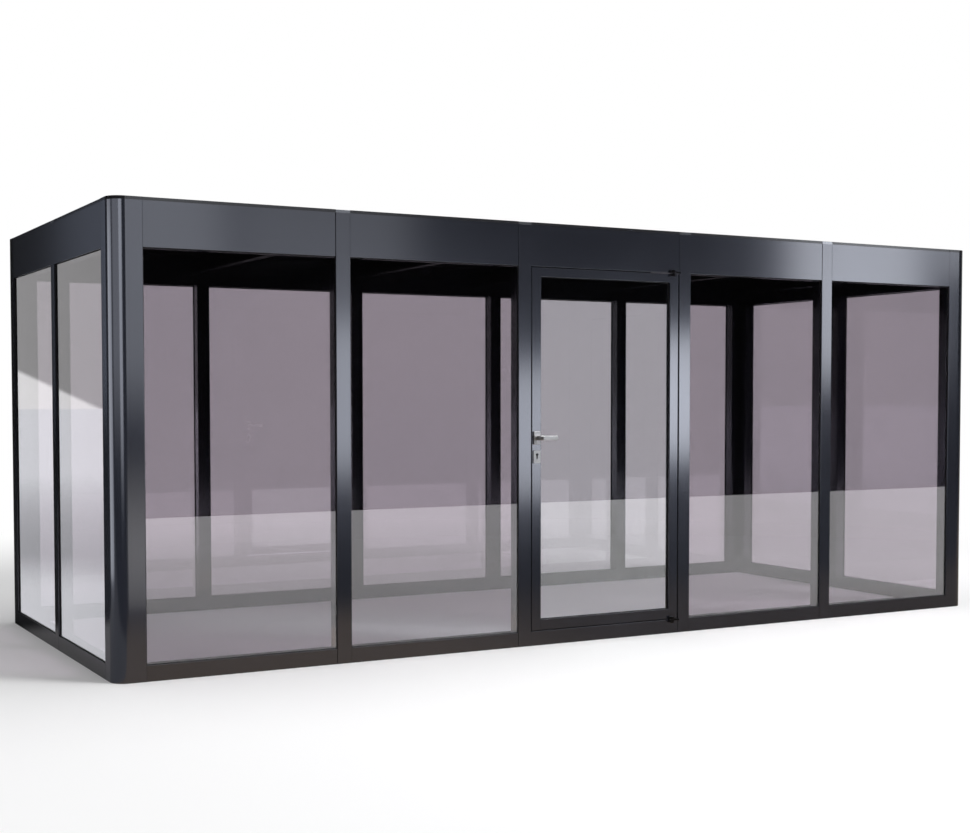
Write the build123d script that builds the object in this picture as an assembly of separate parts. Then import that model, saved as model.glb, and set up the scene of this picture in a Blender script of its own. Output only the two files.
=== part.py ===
from build123d import *
import os

# Glass greenhouse: an extruded frame glazed on four sides under a flat roof, with one pivot-hung door.
# Lengths in millimetres. X runs along the front from left to right, the front faces -Y, Z is up.
# The origin is the middle of the footprint, at ground level.

# Bays and overall size
long_wall_bays = 5
end_wall_bays = 2
overall_length = 5640.0
overall_width = 2320.0
overall_height = 2330.0
mullion_face = 80.0
post_face = 160.0
post_corner_radius = 75.0
frame_depth = 88.0
sill_height = 80.0
fascia_height = 240.0
cap_height = 16.0
cap_bevel = 2.0

# Extrusions
wall = 3.0
edge_radius = 2.0
web_height_share = 0.5
bay_seam = 3.0

# Glazing
glass_thickness = 8.0
glass_setback = 9.0
glass_bite = 12.0
gasket_side = 3.0
gasket_base = 2.0
gasket_sight = 3.0

# Roof
beam_width = 60.0
beam_height = 100.0
panel_thickness = 30.0
panel_joint = 4.0
roof_lap = 30.0
strip_setback = 2.0
cover_width = 60.0
cover_thickness = 4.0

# Door leaf
member_face = 58.0
top_rail_face = 50.0
leaf_thickness = 40.0
lock_gap = 5.0
hinge_gap = 8.0
door_gap = 5.0
door_glass_setback = 16.0
stop_size = 15.0

# Pivot hinges
hinge_inset = 47.0
hinge_offset = 16.0
knuckle_radius = 13.0
knuckle_height = 14.0
hinge_pin_radius = 5.0
hinge_clearance = 0.4
arm_height = 8.0
arm_thickness = 3.0
arm_overlap = 8.0

# Lever set
handle_height = 1150.0
lock_drop = 104.0
plate_width = 44.0
plate_height = 72.0
plate_corner = 6.0
rose_bevel = 2.0
rose_thickness = 9.0
escutcheon_thickness = 6.0
lever_reach = 56.0
lever_length = 106.0
lever_bar_height = 24.0
lever_bar_depth = 13.0
lever_edge_chamfer = 2.5
lever_bend_radius = 17.0
neck_radius = 10.0
neck_proud = 5.0
neck_clearance = 0.5
spindle_size = 8.0
spindle_socket = 18.0
keyhole_rise = 12.0
keyhole_radius = 7.5
keyhole_slot_width = 8.0
keyhole_length = 24.0

# Length by which each cut runs past the solid it cuts
overrun = 1.0

# Sizes that follow from the ones above
door_bay = long_wall_bays // 2
half_length = overall_length / 2
half_width = overall_width / 2
bay_clear = (overall_length - 2 * post_face - (long_wall_bays - 1) * mullion_face) / long_wall_bays
end_bay_clear = (overall_width - 2 * post_face - (end_wall_bays - 1) * mullion_face) / end_wall_bays
frame_top = overall_height - cap_height
head_height = overall_height - fascia_height
pocket_front = glass_setback - gasket_side
pocket_back = glass_setback + glass_thickness + gasket_side
pocket_depth = glass_bite + gasket_base
door_left = -bay_clear / 2 + lock_gap
door_right = bay_clear / 2 - hinge_gap
door_bottom = sill_height + door_gap
door_top = head_height - door_gap
leaf_pocket_front = door_glass_setback - gasket_side
leaf_pocket_back = door_glass_setback + glass_thickness + gasket_side
lock_x = door_left + member_face / 2
hinge_x = door_right - hinge_inset

# The four walls, each drawn as the front wall and turned about Z into its place
front_wall = Pos(0, -half_width, 0)
right_wall = Rot(0, 0, 90) * Pos(0, -half_length, 0)
rear_wall = Rot(0, 0, 180) * Pos(0, -half_width, 0)
left_wall = Rot(0, 0, 270) * Pos(0, -half_length, 0)
end_walls = [left_wall, right_wall]


def face_of(points):
    """A flat face inside a closed run of points."""
    return make_face(Polyline(*points, close=True).edges())


def block(low, high):
    """A box between two opposite corners."""
    size = [b - a for a, b in zip(low, high)]
    return Pos(*low) * Box(*size, align=(Align.MIN, Align.MIN, Align.MIN))


def long_bay(index):
    """Left and right edges of a clear bay on a long wall."""
    left = -half_length + post_face + index * (bay_clear + mullion_face)
    return left, left + bay_clear


def end_bay(index):
    """Left and right edges of a clear bay on an end wall."""
    left = -half_width + post_face + index * (end_bay_clear + mullion_face)
    return left, left + end_bay_clear


long_bays = [long_bay(i) for i in range(long_wall_bays)]
end_bays = [end_bay(i) for i in range(end_wall_bays)]
glazed_bays = [bay for i, bay in enumerate(long_bays) if i != door_bay]


def pocket_points(edge, turn):
    """Outline of a glazing pocket sunk into an upright edge, from front to back."""
    floor = edge - turn * pocket_depth
    return [(edge, pocket_front), (floor, pocket_front), (floor, pocket_back), (edge, pocket_back)]


def mullion_section(pocket_left, pocket_right):
    """Hollow section of a mullion, its outer face on y = 0 and a pocket on each glazed side."""
    half = mullion_face / 2
    right = pocket_points(half, 1) if pocket_right else []
    left = pocket_points(-half, -1)[::-1] if pocket_left else []
    corners = [(-half, 0), (half, 0)]
    back = [(half, frame_depth), (-half, frame_depth)]
    outer = face_of(corners + right + back + left)
    outer = fillet(outer.vertices().group_by(Axis.Y)[0], edge_radius)
    inner = half - wall
    neck_right = inner - pocket_depth if pocket_right else inner
    neck_left = inner - pocket_depth if pocket_left else inner
    step = pocket_back + wall
    rear = frame_depth - wall
    front_chamber = face_of([(-neck_left, wall), (neck_right, wall), (neck_right, step), (-neck_left, step)])
    rear_chamber = face_of([(-inner, step), (inner, step), (inner, rear), (-inner, rear)])
    return outer - front_chamber - rear_chamber


def mullion(center, pocket_left=True, pocket_right=True):
    """A mullion standing on the ground at a place along its wall."""
    return Pos(center, 0, 0) * extrude(mullion_section(pocket_left, pocket_right), amount=frame_top)


def post_section():
    """Hollow section of a corner post: a round outer corner, two legs and a pocket at the end of each."""
    corner = [(0, 0), (post_face, 0)]
    leg_x = pocket_points(post_face, 1)
    inside = [(post_face, frame_depth), (frame_depth, frame_depth), (frame_depth, post_face)]
    leg_y = [(y, x) for x, y in leg_x[::-1]]
    outer = face_of(corner + leg_x + inside + leg_y + [(0, post_face)])
    outer = fillet(outer.vertices().sort_by_distance((0, 0, 0))[0], post_corner_radius)
    leg_ends = [(post_face, 0, 0), (0, post_face, 0)]
    outer = fillet([outer.vertices().sort_by_distance(end)[0] for end in leg_ends], edge_radius)
    lining = face_of([(wall, wall), (post_face, wall), (post_face, post_face), (wall, post_face)])
    lining = fillet(lining.vertices().sort_by_distance((0, 0, 0))[0], post_corner_radius - wall)
    deep = frame_depth - wall
    middle = lining & face_of([(0, 0), (deep, 0), (deep, deep), (0, deep)])
    tip = post_face - wall
    neck = tip - pocket_depth
    step = pocket_back + wall
    chamber = [(frame_depth, wall), (neck, wall), (neck, step), (tip, step), (tip, deep), (frame_depth, deep)]
    leg_chamber = lining & face_of(chamber)
    other_chamber = lining & face_of([(y, x) for x, y in chamber])
    return outer - middle - leg_chamber - other_chamber


def corner_post(x, y, angle):
    """A corner post turned so that its legs lie along its two walls."""
    return Pos(x, y, 0) * Rot(0, 0, angle) * extrude(post_section(), amount=frame_top)


def sill(left, right, glazed=True):
    """A hollow base rail between two uprights, with a pocket in its top where a pane stands in it."""
    floor = sill_height - pocket_depth
    pocket = [(pocket_back, floor), (pocket_front, floor)]
    top = [(pocket_back, sill_height), *pocket, (pocket_front, sill_height)]
    base = [(0, 0), (frame_depth, 0), (frame_depth, sill_height)]
    outer = face_of(base + (top if glazed else []) + [(0, sill_height)])
    outer = fillet(outer.vertices().sort_by_distance((0, sill_height, 0))[0], edge_radius)
    rear = frame_depth - wall
    upper = sill_height - wall
    lower = floor - wall if glazed else upper
    step = pocket_back + wall
    front_chamber = face_of([(wall, wall), (step, wall), (step, lower), (wall, lower)])
    rear_chamber = face_of([(step, wall), (rear, wall), (rear, upper), (step, upper)])
    section = outer - front_chamber - rear_chamber
    return Pos(left, 0, 0) * extrude(Plane.YZ * section, amount=right - left)


def fascia(left, right, glazed=True):
    """A deep hollow head rail between two uprights, with one web and a pocket in its underside."""
    rise = head_height + pocket_depth
    pocket = [(pocket_front, rise), (pocket_back, rise)]
    under = [(pocket_front, head_height), *pocket, (pocket_back, head_height)]
    body = [(frame_depth, head_height), (frame_depth, frame_top), (0, frame_top)]
    outer = face_of([(0, head_height)] + (under if glazed else []) + body)
    outer = fillet(outer.vertices().sort_by_distance((0, head_height, 0))[0], edge_radius)
    rear = frame_depth - wall
    web = head_height + (frame_top - head_height) * web_height_share
    low_front = rise + wall if glazed else head_height + wall
    step = pocket_back + wall
    crown = frame_top - wall
    front_chamber = face_of([(wall, low_front), (step, low_front), (step, web), (wall, web)])
    foot = head_height + wall
    rear_chamber = face_of([(step, foot), (rear, foot), (rear, web), (step, web)])
    top_chamber = face_of([(wall, web + wall), (rear, web + wall), (rear, crown), (wall, crown)])
    section = outer - front_chamber - rear_chamber - top_chamber
    return Pos(left, 0, 0) * extrude(Plane.YZ * section, amount=right - left)


def pane(left, right, bottom, top, setback):
    """A sheet of glass that reaches into the pockets around a clear opening."""
    low = (left - glass_bite, setback, bottom - glass_bite)
    high = (right + glass_bite, setback + glass_thickness, top + glass_bite)
    return block(low, high)


def gasket(left, right, bottom, top, setback):
    """A rubber channel around the edge of a pane, filling the pocket and showing as a thin line."""
    front = setback - gasket_side
    back = setback + glass_thickness + gasket_side
    low = (left - pocket_depth, front, bottom - pocket_depth)
    high = (right + pocket_depth, back, top + pocket_depth)
    sight_low = (left + gasket_sight, front - overrun, bottom + gasket_sight)
    sight_high = (right - gasket_sight, back + overrun, top - gasket_sight)
    return block(low, high) - block(sight_low, sight_high) - pane(left, right, bottom, top, setback)


def wall_pane(bay):
    """The fixed pane of one bay."""
    return pane(*bay, sill_height, head_height, glass_setback)


def wall_gasket(bay):
    """The gasket of one bay's fixed pane."""
    return gasket(*bay, sill_height, head_height, glass_setback)


def rail_ends(bays, seam_on_right):
    """Ends of each bay's rails: a narrow seam on one side of each mullion, a tight joint on the other."""
    last = len(bays) - 1
    ends = []
    for i, (left, right) in enumerate(bays):
        short_right = bay_seam if seam_on_right and i < last else 0
        short_left = bay_seam if i > 0 and not seam_on_right else 0
        ends.append((left + short_left, right - short_right))
    return ends


def mullion_centers(bays):
    """Places of the mullions between the bays of a wall."""
    return [right + mullion_face / 2 for left, right in bays[:-1]]


def edge_strip(left, right):
    """A thin folded strip that closes the top of a bay's fascia and laps over the roof panel."""
    depth = frame_depth + roof_lap
    outside = [(strip_setback, frame_top), (depth, frame_top), (depth, overall_height)]
    outer = face_of(outside + [(strip_setback, overall_height)])
    crown = overall_height - wall
    front = strip_setback + wall
    back = depth - wall
    hollow = face_of([(front, frame_top), (back, frame_top), (back, crown), (front, crown)])
    return Pos(left, 0, 0) * extrude(Plane.YZ * (outer - hollow), amount=right - left)


def mullion_cap(center):
    """A hollow cap on the top end of a mullion."""
    half = mullion_face / 2
    depth = frame_depth + roof_lap
    cap = block((center - half, 0, frame_top), (center + half, depth, overall_height))
    rim = cap.edges().group_by(Axis.Z)[-1].group_by(Axis.Y)[0]
    cap = chamfer(rim, cap_bevel)
    low = (center - half + wall, wall, frame_top - overrun)
    return cap - block(low, (center + half - wall, depth - wall, overall_height - wall))


def post_cap(x, y, angle):
    """A hollow square cap on a corner post, round at the outer corner."""
    plate = face_of([(0, 0), (post_face, 0), (post_face, post_face), (0, post_face)])
    plate = fillet(plate.vertices().sort_by_distance((0, 0, 0))[0], post_corner_radius)
    tip = post_face - wall
    inner = face_of([(wall, wall), (tip, wall), (tip, tip), (wall, tip)])
    inner = fillet(inner.vertices().sort_by_distance((0, 0, 0))[0], post_corner_radius - wall)
    cap = extrude(plate, amount=cap_height) - extrude(inner, amount=cap_height - wall)
    return Pos(x, y, frame_top) * Rot(0, 0, angle) * cap


def roof_beam(center):
    """A hollow roof beam between the front and rear walls."""
    half = beam_width / 2
    top = frame_top - panel_thickness
    bottom = top - beam_height
    reach = half_width - frame_depth
    tube = block((center - half, -reach, bottom), (center + half, reach, top))
    low = (center - half + wall, -reach - overrun, bottom + wall)
    high = (center + half - wall, reach + overrun, top - wall)
    return tube - block(low, high)


def roof_panel(left, right):
    """A roof tray folded from sheet, its edges down, lying on two beams."""
    reach = half_width - frame_depth
    bottom = frame_top - panel_thickness
    tray = block((left, -reach, bottom), (right, reach, frame_top))
    low = (left + wall, -reach + wall, bottom - overrun)
    return tray - block(low, (right - wall, reach - wall, frame_top - wall))


def roof_cover(center):
    """A flat strip over the joint between two roof panels."""
    half = cover_width / 2
    reach = half_width - frame_depth - roof_lap
    return block((center - half, -reach, frame_top), (center + half, reach, frame_top + cover_thickness))


def stile(inner_side):
    """A hollow door stile whose glass pocket is on the side given, with x = 0 on its outer edge."""
    floor = member_face - pocket_depth
    base = [(0, 0), (member_face, 0), (member_face, leaf_pocket_front), (floor, leaf_pocket_front)]
    back = [(floor, leaf_pocket_back), (member_face, leaf_pocket_back)]
    rear = [(member_face, leaf_thickness), (0, leaf_thickness)]
    tip = member_face - wall
    neck = floor - wall
    deep = leaf_thickness - wall
    front_lip = leaf_pocket_front - wall
    rear_lip = leaf_pocket_back + wall
    hollow = [(wall, wall), (tip, wall), (tip, front_lip), (neck, front_lip)]
    hollow += [(neck, rear_lip), (tip, rear_lip), (tip, deep), (wall, deep)]
    outer = face_of([(inner_side * x, y) for x, y in base + back + rear])
    outer = fillet(outer.vertices().group_by(Axis.Y)[0], edge_radius)
    section = outer - face_of([(inner_side * x, y) for x, y in hollow])
    return Pos(0, 0, door_bottom) * extrude(section, amount=door_top - door_bottom)


def lock_stile():
    """The stile that carries the lever set, bored for the spindle and cut for the key."""
    bar = Pos(door_left, 0, 0) * stile(1)
    bore = Cylinder(neck_radius + neck_clearance, leaf_thickness + 2 * overrun, rotation=(90, 0, 0))
    bar -= Pos(lock_x, leaf_thickness / 2, handle_height) * bore
    return bar - keyhole(-overrun, leaf_thickness + overrun)


def rail(turn, edge, face):
    """A hollow door rail between the stiles; turn is 1 with the pocket above, -1 with it below."""
    floor = face - pocket_depth
    base = [(0, 0), (0, face), (leaf_pocket_front, face), (leaf_pocket_front, floor)]
    back = [(leaf_pocket_back, floor), (leaf_pocket_back, face)]
    rear = [(leaf_thickness, face), (leaf_thickness, 0)]
    tip = face - wall
    neck = floor - wall
    deep = leaf_thickness - wall
    front_lip = leaf_pocket_front - wall
    rear_lip = leaf_pocket_back + wall
    hollow = [(wall, wall), (wall, tip), (front_lip, tip), (front_lip, neck)]
    hollow += [(rear_lip, neck), (rear_lip, tip), (deep, tip), (deep, wall)]
    outer = face_of([(y, edge + turn * z) for y, z in base + back + rear])
    outer = fillet(outer.vertices().group_by(Axis.X)[0], edge_radius)
    section = outer - face_of([(y, edge + turn * z) for y, z in hollow])
    span = door_right - door_left - 2 * member_face
    return Pos(door_left + member_face, 0, 0) * extrude(Plane.YZ * section, amount=span)


def keyhole(front, back):
    """A keyhole-shaped cutter through the lock stile: a round hole over a slot."""
    center = handle_height - lock_drop + keyhole_rise
    hole = Cylinder(keyhole_radius, back - front, rotation=(90, 0, 0))
    hole = Pos(lock_x, (front + back) / 2, center) * hole
    half = keyhole_slot_width / 2
    slot = block((lock_x - half, front, center - keyhole_length), (lock_x + half, back, center))
    return hole + slot


def handle_plate(thickness, center):
    """An oblong plate with rounded corners, lying on the outer face of the leaf."""
    shape = RectangleRounded(plate_width, plate_height, plate_corner)
    return Pos(lock_x, 0, center) * extrude(Plane.XZ * shape, amount=thickness)


def inside_of(solid):
    """The twin of an outside fitting on the inner face of the leaf."""
    return mirror(solid, about=Plane.XZ.offset(-leaf_thickness / 2))


def rose():
    """The plate behind the lever, bevelled round its rim and bored for the lever's neck."""
    plate = handle_plate(rose_thickness, handle_height)
    plate = chamfer(plate.edges().group_by(Axis.Y)[0], rose_bevel)
    bore = Cylinder(neck_radius + neck_clearance, 2 * rose_thickness + overrun, rotation=(90, 0, 0))
    return plate - Pos(lock_x, 0, handle_height) * bore


def escutcheon():
    """The thin plate around the keyhole."""
    plate = handle_plate(escutcheon_thickness, handle_height - lock_drop)
    return plate - keyhole(-escutcheon_thickness - overrun, overrun)


def lever():
    """The outside lever: a round neck out of the rose, and a flat bar swept round a bend along the door."""
    root = -rose_thickness - neck_proud
    middle = -lever_reach + lever_bar_depth / 2
    bend = middle + lever_bend_radius
    out = Line((0, root), (0, bend))
    arc = RadiusArc((0, bend), (lever_bend_radius, middle), -lever_bend_radius)
    along = Line((lever_bend_radius, middle), (lever_length, middle))
    across = Plane(origin=(0, root, 0), x_dir=(1, 0, 0), z_dir=(0, -1, 0))
    section = Rectangle(lever_bar_depth, lever_bar_height)
    section = chamfer(section.vertices(), lever_edge_chamfer)
    bar = sweep(across * section, path=out + arc + along)
    bar = chamfer(bar.edges().group_by(Axis.X)[-1], lever_edge_chamfer)
    neck = Pos(0, root / 2, 0) * Cylinder(neck_radius, -root, rotation=(90, 0, 0))
    half = spindle_size / 2
    socket = block((-half, -spindle_socket, -half), (half, overrun, half))
    return Pos(lock_x, 0, handle_height) * (bar + neck - socket)


def spindle():
    """The square bar that joins the two levers through the leaf."""
    half = spindle_size / 2
    low = (lock_x - half, -spindle_socket, handle_height - half)
    high = (lock_x + half, leaf_thickness + spindle_socket, handle_height + half)
    return block(low, high)


def knuckle(low, high):
    """A hinge knuckle standing on the outer face: a round barrel and the foot that carries it."""
    barrel = Cylinder(knuckle_radius, high - low, align=(Align.CENTER, Align.CENTER, Align.MIN))
    barrel = Pos(hinge_x, -hinge_offset, low) * barrel
    foot = block((hinge_x - knuckle_radius, -hinge_offset, low), (hinge_x + knuckle_radius, 0, high))
    return barrel + foot


def hinge_pin(low, high, radius):
    """A round bar on the hinge axis."""
    bar = Cylinder(radius, high - low, align=(Align.CENTER, Align.CENTER, Align.MIN))
    return Pos(hinge_x, -hinge_offset, low) * bar


def door_knuckle(low, high):
    """A knuckle of the door, bored for the pin to turn in it."""
    bore = hinge_pin(low - overrun, high + overrun, hinge_pin_radius + hinge_clearance)
    return knuckle(low, high) - bore


def hinge_bracket(low, high, arm_low, pin_low, pin_high):
    """A fixed knuckle with its pin and a slim arm that crosses the hinge gap on to the mullion."""
    arm_end = bay_clear / 2 + arm_overlap
    arm = block((hinge_x, -arm_thickness, arm_low), (arm_end, 0, arm_low + arm_height))
    return knuckle(low, high) + arm + hinge_pin(pin_low, pin_high, hinge_pin_radius)


def door_stop():
    """The strip under the door head that the leaf closes towards, short of the hinge end of its swing."""
    left = -bay_clear / 2
    right = hinge_x - 2 * member_face
    front = leaf_thickness + door_gap
    return block((left, front, head_height - stop_size), (right, front + stop_size, head_height))


def placed(wall_place, solids):
    """Solids of a wall moved to their place as one compound."""
    return Compound(children=[wall_place * s for s in solids])


corner_side_shares = {"front_left": (-1, -1), "front_right": (1, -1)}
corner_side_shares |= {"rear_right": (1, 1), "rear_left": (-1, 1)}
corners = {}
for turn, (name, (side_x, side_y)) in enumerate(corner_side_shares.items()):
    corners[name] = (side_x * half_length, side_y * half_width, turn * 90)
long_mullions = mullion_centers(long_bays)
end_mullions = mullion_centers(end_bays)
nodes = {}

# Uprights
for name, place in corners.items():
    nodes["corner_post_" + name] = corner_post(*place)
for i, center in enumerate(long_mullions):
    beside_door_left = i != door_bay
    beside_door_right = i + 1 != door_bay
    nodes["front_mullion_" + str(i + 1)] = front_wall * mullion(center, beside_door_left, beside_door_right)
nodes["rear_mullions"] = placed(rear_wall, [mullion(c) for c in long_mullions])
nodes["end_mullions"] = Compound(children=[end * mullion(c) for end in end_walls for c in end_mullions])

# Base rails
long_rails = rail_ends(long_bays, True)
end_rails = rail_ends(end_bays, False)
glazed_rails = [run for i, run in enumerate(long_rails) if i != door_bay]
nodes["front_sills"] = placed(front_wall, [sill(*run) for run in glazed_rails])
nodes["door_threshold"] = front_wall * sill(*long_rails[door_bay], glazed=False)
nodes["rear_sills"] = placed(rear_wall, [sill(*run) for run in long_rails])
nodes["end_sills"] = Compound(children=[end * sill(*run) for end in end_walls for run in end_rails])

# Fascias
for i, run in enumerate(long_rails):
    nodes["front_fascia_" + str(i + 1)] = front_wall * fascia(*run, glazed=i != door_bay)
nodes["rear_fascias"] = placed(rear_wall, [fascia(*run) for run in long_rails])
nodes["end_fascias"] = Compound(children=[end * fascia(*run) for end in end_walls for run in end_rails])

# Fixed glazing
nodes["front_glass"] = placed(front_wall, [wall_pane(bay) for bay in glazed_bays])
nodes["rear_glass"] = placed(rear_wall, [wall_pane(bay) for bay in long_bays])
nodes["end_glass"] = Compound(children=[end * wall_pane(bay) for end in end_walls for bay in end_bays])
gaskets = [front_wall * wall_gasket(bay) for bay in glazed_bays]
gaskets += [rear_wall * wall_gasket(bay) for bay in long_bays]
gaskets += [end * wall_gasket(bay) for end in end_walls for bay in end_bays]
nodes["wall_gaskets"] = Compound(children=gaskets)

# Roof
end_beam = half_length - frame_depth - beam_width / 2
beams = [-end_beam] + long_mullions + [end_beam]
nodes["roof_beams"] = Compound(children=[roof_beam(c) for c in beams])
panel_edges = [frame_depth - half_length] + long_mullions + [half_length - frame_depth]
panels = []
for i in range(long_wall_bays):
    left = panel_edges[i] + (panel_joint / 2 if i > 0 else 0)
    right = panel_edges[i + 1] - (panel_joint / 2 if i < long_wall_bays - 1 else 0)
    panels.append(roof_panel(left, right))
nodes["roof_panels"] = Compound(children=panels)
nodes["roof_joint_covers"] = Compound(children=[roof_cover(c) for c in long_mullions])
strips = [front_wall * edge_strip(*bay) for bay in long_bays]
strips += [rear_wall * edge_strip(*bay) for bay in long_bays]
strips += [end * edge_strip(*bay) for end in end_walls for bay in end_bays]
nodes["roof_edge_strips"] = Compound(children=strips)
caps = [front_wall * mullion_cap(c) for c in long_mullions]
caps += [rear_wall * mullion_cap(c) for c in long_mullions]
caps += [end * mullion_cap(c) for end in end_walls for c in end_mullions]
nodes["mullion_caps"] = Compound(children=caps)
nodes["post_caps"] = Compound(children=[post_cap(*place) for place in corners.values()])

# Door leaf
clear_sides = (door_left + member_face, door_right - member_face)
clear = (*clear_sides, door_bottom + member_face, door_top - top_rail_face)
nodes["door_lock_stile"] = front_wall * lock_stile()
nodes["door_hinge_stile"] = front_wall * Pos(door_right, 0, 0) * stile(-1)
nodes["door_top_rail"] = front_wall * rail(-1, door_top, top_rail_face)
nodes["door_bottom_rail"] = front_wall * rail(1, door_bottom, member_face)
nodes["door_glass"] = front_wall * pane(*clear, door_glass_setback)
nodes["door_gasket"] = front_wall * gasket(*clear, door_glass_setback)
nodes["door_stop"] = front_wall * door_stop()

# Pivot hinges: the pin belongs to the fixed bracket and turns in the door's knuckle
top_knuckle = (door_top - knuckle_height, door_top)
base_knuckle = (door_bottom, door_bottom + knuckle_height)
top_bracket = (head_height, head_height + knuckle_height, head_height)
base_bracket = (sill_height - knuckle_height, sill_height, sill_height - arm_height)
nodes["door_hinge_knuckles"] = placed(front_wall, [door_knuckle(*top_knuckle), door_knuckle(*base_knuckle)])
fixed_top = hinge_bracket(*top_bracket, top_knuckle[0], head_height + knuckle_height)
fixed_base = hinge_bracket(*base_bracket, sill_height - knuckle_height, base_knuckle[1])
nodes["hinge_brackets"] = placed(front_wall, [fixed_top, fixed_base])

# Lever set
plates = [rose(), inside_of(rose()), escutcheon(), inside_of(escutcheon())]
nodes["handle_plates"] = placed(front_wall, plates)
nodes["lever_outside"] = front_wall * lever()
nodes["lever_inside"] = front_wall * inside_of(lever())
nodes["lever_spindle"] = front_wall * spindle()

os.makedirs("parts", exist_ok=True)
for name, solid in nodes.items():
    export_step(solid, "parts/" + name + ".step")
print(len(nodes), "nodes,", round(bay_clear), "mm bays")
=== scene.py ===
"""Finishes, small fittings, studio and camera for a glass greenhouse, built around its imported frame.

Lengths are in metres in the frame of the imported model: X runs along the front, the front faces -Y, Z is up.
"""

import logging
import math
from collections.abc import Callable, Iterable, Sequence
from dataclasses import dataclass, field
from enum import Enum
from typing import Protocol

import bpy
from mathutils import Matrix, Vector


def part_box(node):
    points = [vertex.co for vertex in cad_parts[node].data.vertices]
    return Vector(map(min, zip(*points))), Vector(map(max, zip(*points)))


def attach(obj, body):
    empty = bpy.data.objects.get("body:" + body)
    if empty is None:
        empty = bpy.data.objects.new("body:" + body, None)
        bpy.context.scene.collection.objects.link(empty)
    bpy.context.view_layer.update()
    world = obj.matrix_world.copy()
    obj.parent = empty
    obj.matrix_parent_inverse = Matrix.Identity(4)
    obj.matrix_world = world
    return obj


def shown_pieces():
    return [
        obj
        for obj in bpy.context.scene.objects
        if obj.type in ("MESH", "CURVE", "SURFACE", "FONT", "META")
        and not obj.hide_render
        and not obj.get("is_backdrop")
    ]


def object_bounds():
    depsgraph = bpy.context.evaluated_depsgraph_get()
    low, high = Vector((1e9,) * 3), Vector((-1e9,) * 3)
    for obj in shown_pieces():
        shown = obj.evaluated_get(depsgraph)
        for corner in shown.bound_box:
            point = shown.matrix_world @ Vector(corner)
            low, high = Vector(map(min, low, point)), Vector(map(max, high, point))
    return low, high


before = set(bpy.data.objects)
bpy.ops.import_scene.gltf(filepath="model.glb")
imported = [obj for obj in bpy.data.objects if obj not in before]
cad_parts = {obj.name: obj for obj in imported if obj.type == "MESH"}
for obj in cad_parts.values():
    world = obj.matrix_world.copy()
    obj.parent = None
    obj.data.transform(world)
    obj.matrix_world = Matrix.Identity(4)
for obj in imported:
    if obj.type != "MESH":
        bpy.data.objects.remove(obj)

Colour = tuple[float, float, float]
Span = tuple[float, float]
Point = tuple[float, float, float]
Piece = bpy.types.Object
Material = bpy.types.Material
Node = bpy.types.Node
Socket = bpy.types.NodeSocket
Feed = Socket | float | Colour

# A test of a face's centre and normal, or of the places of an edge's two ends.
Test = Callable[[Vector, Vector], bool]

CAD_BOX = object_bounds()
LOG = logging.getLogger("greenhouse")

# Places closer than TOUCH count as one, and a face looks along an axis from FACING of its normal up.
TOUCH = 1e-5
FACING = 0.9
SMOOTH_ANGLE = math.radians(35)

# Ranges of values: none to all, and the usual range of a noise pattern.
SHARE: Span = (0.0, 1.0)
NOISE: Span = (0.3, 0.7)

BLACK: Colour = (0.0, 0.0, 0.0)
WHITE: Colour = (1.0, 1.0, 1.0)
COOL: Colour = (0.90, 0.93, 1.0)
WARM: Colour = (1.0, 0.96, 0.92)
BLUE: Colour = (0.70, 0.78, 1.0)


class Body(Enum):
    """Bodies of the part that a piece can move with."""

    FRAME = "frame"
    DOOR = "door_leaf"


class Slot(Enum):
    """Material slots of the part."""

    FRAME_PAINT = "frame_paint"
    CAP_PAINT = "cap_paint"
    EDGE_PAINT = "edge_paint"
    ROOF_COATING = "roof_coating"
    BEAM_PAINT = "beam_paint"
    TINTED_GLASS = "tinted_glass"
    LIGHT_GLASS = "light_glass"
    RUBBER_SEAL = "rubber_seal"
    SATIN_SILVER = "satin_silver"
    SPINDLE_STEEL = "spindle_steel"
    HINGE_METAL = "hinge_metal"

    def finish(self) -> str:
        """Name of the slot's material."""
        return self.value + "_finish"


class Wall(Enum):
    """The four walls, by the turn about Z that brings the front wall there."""

    FRONT = 0.0
    RIGHT = 90.0
    REAR = 180.0
    LEFT = 270.0

    def turn(self) -> Matrix:
        """The turn about Z as a matrix."""
        return Matrix.Rotation(math.radians(self.value), 4, "Z")


class Operation(Enum):
    """Operations on two values of a node tree, the last on the first of them alone."""

    ADD = "ADD"
    SUBTRACT = "SUBTRACT"
    MULTIPLY = "MULTIPLY"
    MAXIMUM = "MAXIMUM"
    UNDER = "LESS_THAN"
    OVER = "GREATER_THAN"
    SIZE = "ABSOLUTE"


class Element(Enum):
    """Elements of a mesh that are selected in edit mode."""

    FACE = "FACE"
    EDGE = "EDGE"


class Linking(Enum):
    """Whether a lamp lights only some pieces, or all but those."""

    ONLY = "INCLUDE"
    ALL_BUT = "EXCLUDE"


def numbered(stem: str, count: int) -> tuple[str, ...]:
    """Names of nodes that are numbered from one."""
    return tuple(f"{stem}_{number}" for number in range(1, count + 1))


BAYS = 5
MULLIONS = numbered("front_mullion", BAYS - 1)
FASCIAS = numbered("front_fascia", BAYS)

# What the lamps are kept to or kept from.
PAINTS = (Slot.FRAME_PAINT, Slot.CAP_PAINT, Slot.EDGE_PAINT)
DARK = (*PAINTS, Slot.HINGE_METAL)
POST = ("corner_post_front_left",)
REAR = ("rear_", "corner_post_rear")


@dataclass(frozen=True)
class Pattern:
    """A noise pattern: features in a metre, octaves of finer noise, and its scale along each axis."""

    scale: float
    detail: float = 2.0
    stretch: Point = (1.0, 1.0, 1.0)


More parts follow.
